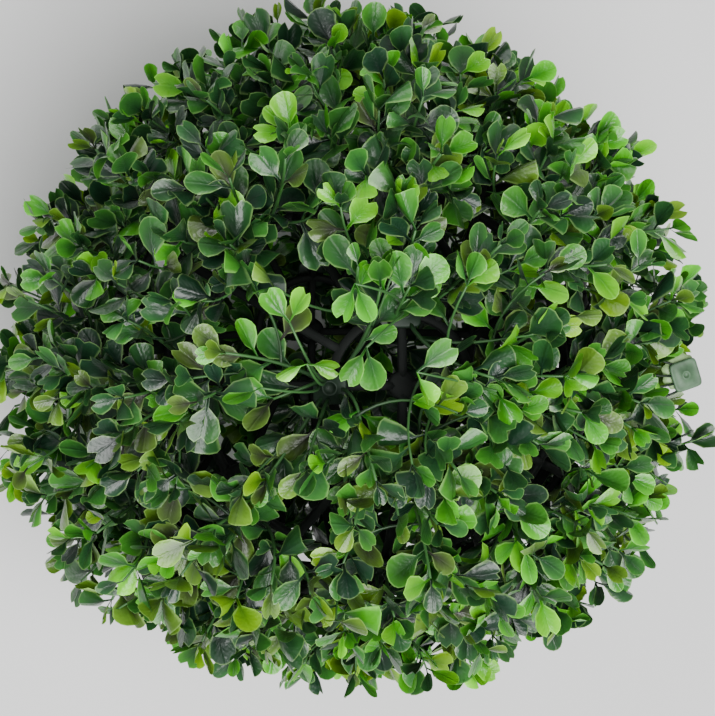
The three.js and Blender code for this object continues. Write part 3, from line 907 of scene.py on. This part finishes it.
def leaves_on(stems):
    """Where leaves grow on one spray's stems: in pairs, each pair turned a quarter from the last,
    and a small cluster at each end. Gives rows of root, along, size, place on the stem and the
    stem's own number."""
    rows = []
    for number, (path, kind, short) in enumerate(stems):
        steps = len(path) - 1
        quarter = RNG.uniform(0, math.pi)
        places = kind["pairs"] + RNG.uniform(-PAIR_CHANCE, PAIR_CHANCE, len(kind["pairs"]))
        for pair, at in enumerate(places):
            spot = at * steps
            k = int(spot)
            root = path[k] + (path[k + 1] - path[k]) * (spot - k)
            way = unit(path[k + 1] - path[k])
            angle = quarter + pair * math.pi / 2
            angle = angle + RNG.uniform(-PAIR_TURN_CHANCE, PAIR_TURN_CHANCE)
            for hand in (1, -1):
                if RNG.uniform() < PAIR_MISSING:
                    continue
                along = leaning(way, angle, hand * RNG.uniform(*PAIR_LEAN))
                size = PAIR_SIZE[0] + PAIR_SIZE[1] * RNG.beta(*PAIR_SIZE_SHAPE)
                rows.append((root, along, size, at, number))
        way = unit(path[-1] - path[-2])
        count = int(RNG.integers(*END_COUNT))
        for k in range(count):
            angle = k + RNG.uniform(-END_TURN_CHANCE, END_TURN_CHANCE)
            angle = quarter + FULL_TURN * angle / count
            lean = RNG.uniform(*END_LEAN)
            size = END_SIZE[0] + END_SIZE[1] * RNG.beta(*END_SIZE_SHAPE)
            size = min(size, (short + END_ROOM) / math.cos(lean))
            rows.append((path[-1], leaning(way, angle, lean), size, 1.0, number))
    return rows


def leaf_grid(leaves):
    """Every leaf's points, as leaves by points by 3: the grid of its front row by row, and then the
    grid of its back without the outline, which both share.

    Across a leaf runs v from -1 to 1, spaced like a sine, and along it u from 0 to 1. The half
    width is looked up by u: a narrow stalk, then a broad blade. A point lies at u times the
    length, less towards the edges by the rise of a circle, which rounds the tip, and less in the
    middle of the tip where the leaf is notched. The leaf folds up by the distance from its
    midrib, cups by its square, bends by the square of the way along it, and twists by both."""
    root = np.array([row[0] for row in leaves])
    along = np.array([row[1] for row in leaves])
    size = np.array([row[2] for row in leaves])
    count = len(root)
    outwards = unit(root - CENTRE)
    wanted = outwards + RNG.normal(*LEAF_FACING, (count, 3))
    across = unit(np.cross(wanted, along))
    face = np.cross(along, across)

    def each(values):
        """One value for each leaf, shaped to go with its grid."""
        return values[:, None, None]

    length = each(LEAF_LENGTH * size)
    width = length * LEAF_WIDTH * each(RNG.uniform(*LEAF_WIDTH_RANGE, count))
    notched = RNG.uniform(0, 1, count) < NOTCHED_SHARE
    notch = each(np.where(notched, RNG.uniform(*NOTCH_DEPTH, count), 0.0))
    fold = each(RNG.normal(*LEAF_FOLD, count))
    cup = each(RNG.normal(*LEAF_CUP, count))
    bend = each(RNG.normal(*LEAF_BEND, count))
    twist = each(RNG.normal(*LEAF_TWIST, count))

    u = LEAF_ROWS[None, :, None]
    v = LEAF_COLUMNS[None, None, :]
    x = width / 2 * LEAF_WIDTHS[None, :, None] * v
    round_tip = EDGE_LENGTH + TIP_ROUNDNESS * np.sqrt(np.clip(1 - v * v, 0, 1))
    in_notch = np.clip(1 - NOTCH_STEEPNESS * np.abs(v), 0, 1)
    y = length * u * round_tip - notch * length * u ** 4 * in_notch
    z = fold * np.abs(x) + cup * x * x / (width / 2) + bend * length * u * u + twist * u * x
    thick = LEAF_THICKNESS / 2 * (1 - v * v) * (1 - u ** 6)

    def placed(depth):
        """The grid's points, at a depth across the leaf's face."""
        return (
            root[:, None, None]
            + x[..., None] * across[:, None, None]
            + y[..., None] * along[:, None, None]
            + depth[..., None] * face[:, None, None]
        )

    front = placed(z + thick).reshape(count, -1, 3)
    back = placed(z - thick)[:, 1:-1, 1:-1].reshape(count, -1, 3)
    return np.concatenate([front, back], 1)


def leaf_faces():
    """The faces of one leaf: its front, and its back turned over. The back has points of its own
    inside the outline, numbered on from the front's, and the front's along it."""
    rows, columns = len(LEAF_ROWS), len(LEAF_COLUMNS)
    front = grid_faces(rows, columns, False)
    behind = np.arange(rows * columns).reshape(rows, columns)
    inside = (rows - 2) * (columns - 2)
    behind[1:-1, 1:-1] = rows * columns + np.arange(inside).reshape(rows - 2, columns - 2)
    return np.concatenate([front, behind.ravel()[front[:, ::-1]]])


def leaf_shape(points):
    """One Shape of many leaves. Its share grows from 0 at a leaf's root by the way along, and
    towards its edges by the square of the way across, to 1 at the corners of the tip."""
    count, each, _ = points.shape
    v, u = np.meshgrid(LEAF_COLUMNS, LEAF_ROWS)
    v = np.concatenate([v.ravel(), v[1:-1, 1:-1].ravel()])
    u = np.concatenate([u.ravel(), u[1:-1, 1:-1].ravel()])
    share = COLOUR_ALONG * u ** COLOUR_LATE + COLOUR_ACROSS * u * v * v
    blade = np.empty((count, each, 3))
    blade[..., 0] = v
    blade[..., 1] = u
    blade[..., 2] = RNG.uniform(0, 1, (count, 1))
    shape = Shape()
    faces = leaf_faces() + np.arange(count)[:, None, None] * each
    shape.add(points, faces, np.tile(share, count), blade.reshape(-1, 3))
    return shape


def over_plate(points):
    """Which rows of points have one that lies over the loose plate or close round it."""
    way = unit(LOOSE_PLATE_CLEAR)
    offset = points - CENTRE - LOOSE_PLATE
    height = offset @ way
    beside = np.linalg.norm(offset - height[..., None] * way, axis=-1)
    return ((height > -LOOSE_PLATE_UNDER) & (beside < LOOSE_PLATE_ROOM)).any(-1)


def keep_inside(points, reach, far):
    """Which leaves stay in the ball, above the floor and clear of the frame, the post and the loose
    plate. In the open place on top they are thinned out by a smooth step of the distance from its
    middle, and more so low on the stems."""
    flat = points - CENTRE
    way = unit(flat.mean(1))
    distance = np.linalg.norm(flat, axis=-1)
    inside = distance.max(1) < reach * reach_towards(way) + LEAF_PAST
    off_frame = distance.min(1) > FRAME_RADIUS + FRAME_ROOM
    lowest = flat[..., 2].min(1)
    above = lowest + CENTRE[2] > FLOOR_ROOM
    beside_post = np.hypot(flat[..., 0], flat[..., 1]).min(1) > POST_ROOM
    t = np.clip((open_way(way)[0] - OPEN_START) / (1 - OPEN_START), 0, 1)
    wanted = OPEN_SHARE + (1 - OPEN_SHARE) * t * t * (3 - 2 * t)
    wanted = wanted ** (OPEN_POWER - OPEN_POWER_LESS * far)
    chosen = RNG.uniform(0, 1, len(points)) < wanted
    off_plate = ~over_plate(points)
    return inside & off_frame & above & chosen & off_plate & (beside_post | (lowest > 0))


def facing_side(up, side):
    """How far a spray faces a side: the cosine of the angle between, to a power, or nothing."""
    middle, power = SIDES[side]
    return max(0.0, float(up @ unit(middle))) ** power


def tint(name, up):
    """How likely a leaf colour is on a spray: a base plus a weight for each side that the spray
    faces, and for the golden one the belt, a power of the level distance from its height. The
    shaded side's weights paint shade, and the belt and the two sides facing +X just below the
    level paint a glow of light shining through the leaves at the ball's edge."""
    total, weights = TINTS[name]
    for side, weight in weights.items():
        total = total + weight * facing_side(up, side)
    if name == "golden":
        # The belt: a painted glow of light shining through the leaves at the ball's edge
        total = total + PAINTED_RIM_GLOW * max(0.0, 1 - (up[2] - BELT_LEVEL) ** 2) ** BELT_POWER
    return total


def deal_colours(far, up):
    """A colour's number for each leaf. Tone 0, 1 or 2 goes by how far along its stem the leaf is,
    by chance and by the sides that its spray faces, and each tone has its own mix of colours. The
    darker tones low on a stem, deep in the ball, and those on the shaded side are painted shade,
    and the lighter ones on the bright and sunny sides are painted light."""
    count = len(far)
    tone = np.where(far > AT_END, 2, np.where(far > HALF_WAY, 1, 0)) + RNG.integers(-1, 2, count)
    # Painted shade and light: a leaf's tone goes one darker on the shaded side and one lighter on
    # the bright and sunny sides
    darker = RNG.uniform(0, 1, count) < PAINTED_SHADE_SHARE * facing_side(up, "shaded")
    bright = facing_side(up, "bright") + facing_side(up, "sunny")
    lighter = RNG.uniform(0, 1, count) < PAINTED_LIGHT_SHARE * bright
    # Leaves low on a stem, deep in the ball, always take the darkest tone: painted shade
    tone = np.clip(np.where(far < PAINTED_SHADE_REACH, 0, tone - darker + lighter), 0, 2)
    shares = np.array([colour[3] for colour in LEAF_COLOURS], float)
    mix = shares * np.array([tint(colour[0], up) for colour in LEAF_COLOURS])[:, None]
    colours = np.empty(count, int)
    for k in range(3):
        pick = RNG.choice(len(mix), count, p=mix[:, k] / mix[:, k].sum())
        colours[tone == k] = pick[tone == k]
    return colours


def grow_sprays(sites):
    """All hubs and stems, and the leaf grids dealt out by colour."""
    hubs, twigs = Shape(), Shape()
    names = [colour[0] for colour in LEAF_COLOURS]
    grids = {name: [] for name in names}
    share = np.linspace(0, 1, STEM_POINTS)
    for number, (_, up) in enumerate(sites, start=1):
        add_hub(hubs, up, *hub_axes(up))
        stems, reach = stem_curves(up, number)
        paths = np.array([path for path, _, _ in stems])
        grown = ~over_plate(paths)
        ends = np.array([kind["radii"] for _, kind, _ in stems]) * MM
        radii = ends[:, :1] + (ends[:, 1:] - ends[:, :1]) * share
        add_tubes(twigs, paths[grown], radii[grown], STEM_SIDES)

        rows = leaves_on(stems)
        points = leaf_grid(rows)
        far = np.array([row[3] for row in rows])
        kept = keep_inside(points, reach, far) & grown[[row[4] for row in rows]]
        colours = deal_colours(far, up)
        for k, name in enumerate(names):
            grids[name].append(points[kept & (colours == k)])
    return hubs, twigs, {name: np.concatenate(found) for name, found in grids.items()}


def grow_sprigs(sites, twigs, grids):
    """The sprigs over the open place. Each stem is a quadratic curve that rises out of its spray's
    hub, and its leaves spread from its end, each along its own turn and a little upwards."""
    axes = dict(sites)
    rows = {name: [] for name in grids}
    paths = []
    for spray, way, leaves in SPRIGS:
        up, way = axes[spray], unit(way)
        start = hub_start(up, unit(way - up * (way @ up)))
        rise = up * SPRIG_MIDDLE * SPRIG_REACH
        end = CENTRE + way * SPRIG_REACH
        paths.append(curve(CENTRE + start, CENTRE + rise, end, STEM_POINTS))
        for colour, turn, size in leaves:
            turn = math.radians(turn)
            along = unit([math.cos(turn), math.sin(turn), SPRIG_RISE])
            rows[colour].append((end, along, size))
    radii = np.linspace(*TWIG["radii"], STEM_POINTS) * MM
    add_tubes(twigs, np.array(paths), np.tile(radii, (len(paths), 1)), STEM_SIDES)
    for colour, found in rows.items():
        if found:
            grids[colour] = np.concatenate([grids[colour], leaf_grid(found)])


# Building it

sites = spray_sites()
spray_nodes = [name for name, _ in sites]
# Its colour is partly painted shade inside the ball
frame_plastic = plastic("frame_plastic", *FRAME_GREYS_AND_SHADE, roughness=0.7, gloss=0.22)
hub_plastic = plastic("hub_plastic", *HUB_GREENS, roughness=0.5, gloss=0.3)
plate_plastic = plastic("plate_plastic", *PLATE_GREENS, roughness=0.5, mottle=0.3)
stem_plastic = plastic("stem_plastic", *STEM_GREENS, roughness=0.42)
wire_plastic = plastic("wire_plastic", *WIRE_GREENS, roughness=0.5)
frill_plastic = plastic("frill_plastic", *FRILL_GREENS, roughness=0.45)

hubs, twigs, grids = grow_sprays(sites)
grow_sprigs(sites, twigs, grids)
plate, wires = Shape(), Shape()
add_loose_plate(plate, wires)

make_piece("lattice_upper", frame_half(1), frame_plastic, "frame", "frame_upper")
make_piece("lattice_lower", frame_half(-1), frame_plastic, "frame", "frame_lower")
make_piece("post", post_shape(), frame_plastic, "post", "stem")
make_piece("loose_plate", plate, plate_plastic, "leaf_dark", *spray_nodes)
make_piece("hubs", hubs, hub_plastic, "leaf_dark", *spray_nodes)
make_piece("stems", twigs, stem_plastic, "leaf_dark", *spray_nodes)
make_piece("wires", wires, wire_plastic, "leaf_dark", *spray_nodes)
make_piece("frill", frill_shape(), frill_plastic, "leaf_bright", *spray_nodes)
for colour_name, root_colour, tip_colour, _ in LEAF_COLOURS:
    blade_plastic = leaf_plastic(f"leaf_{colour_name}", root_colour, tip_colour)
    blades = leaf_shape(grids[colour_name])
    slot = LEAF_SLOTS[colour_name]
    make_piece(f"leaves_{colour_name}", blades, blade_plastic, slot, *spray_nodes)


# The stage, light and camera


def make_floor():
    """A wide square floor painted a plain pale grey."""
    mesh = bpy.data.meshes.new("floor")
    corners = [(-1, -1, 0), (1, -1, 0), (1, 1, 0), (-1, 1, 0)]
    mesh.from_pydata(np.array(corners) * FLOOR_REACH, [], [(0, 1, 2, 3)])
    material = bpy.data.materials.new("floor_paint")
    material.use_nodes = True
    paint = material.node_tree.nodes["Principled BSDF"]
    paint.inputs["Base Color"].default_value = FLOOR_PAINT
    paint.inputs["Roughness"].default_value = FLOOR_ROUGHNESS
    mesh.materials.append(material)
    floor = bpy.data.objects.new("floor", mesh)
    bpy.context.scene.collection.objects.link(floor)


def look_at(item, place, target, upwards):
    """Puts an item at a place and turns it so that its own -Z points at the target."""
    back = unit(np.array(place) - np.array(target))
    right = unit(np.cross(upwards, back))
    up = np.cross(back, right)
    matrix = np.eye(4)
    matrix[:3] = np.stack([right, up, back, place], 1)
    item.matrix_world = Matrix(matrix.tolist())


def make_light(name, place, size, power):
    """A round soft light that points at the ball."""
    light = bpy.data.lights.new(name, "AREA")
    light.shape = "DISK"
    light.size = size
    light.energy = power
    item = bpy.data.objects.new(name, light)
    bpy.context.scene.collection.objects.link(item)
    look_at(item, place, CENTRE, (0.01, 1, 0.02))


def make_camera():
    """The photograph's camera: the ball is as wide as in it, and its middle lies where it does."""
    camera = bpy.data.cameras.new("camera")
    camera.sensor_width = SENSOR
    camera.sensor_fit = "HORIZONTAL"
    edge = math.asin(BALL_RADIUS / CAMERA_DISTANCE)
    focal_pixels = BALL_PIXELS / 2 / math.tan(edge)
    camera.lens = focal_pixels * SENSOR / PHOTO_WIDTH
    camera.shift_x = (PHOTO_WIDTH / 2 - BALL_MIDDLE[0]) / PHOTO_WIDTH
    camera.shift_y = (BALL_MIDDLE[1] - PHOTO_HEIGHT / 2) / PHOTO_WIDTH
    item = bpy.data.objects.new("camera", camera)
    bpy.context.scene.collection.objects.link(item)
    way = on_sphere(math.pi / 2 - CAMERA_ELEVATION, CAMERA_TURN)
    look_at(item, CENTRE + CAMERA_DISTANCE * way, CENTRE, (0, 1, 0))
    bpy.context.scene.camera = item


def make_world():
    """Even white light from all round."""
    world = bpy.data.worlds.new("studio")
    world.use_nodes = True
    sky = world.node_tree.nodes["Background"]
    sky.inputs["Color"].default_value = (1, 1, 1, 1)
    sky.inputs["Strength"].default_value = SKY_STRENGTH
    bpy.context.scene.world = world


make_floor()
make_world()
for light in LIGHTS:
    make_light(*light)
make_camera()
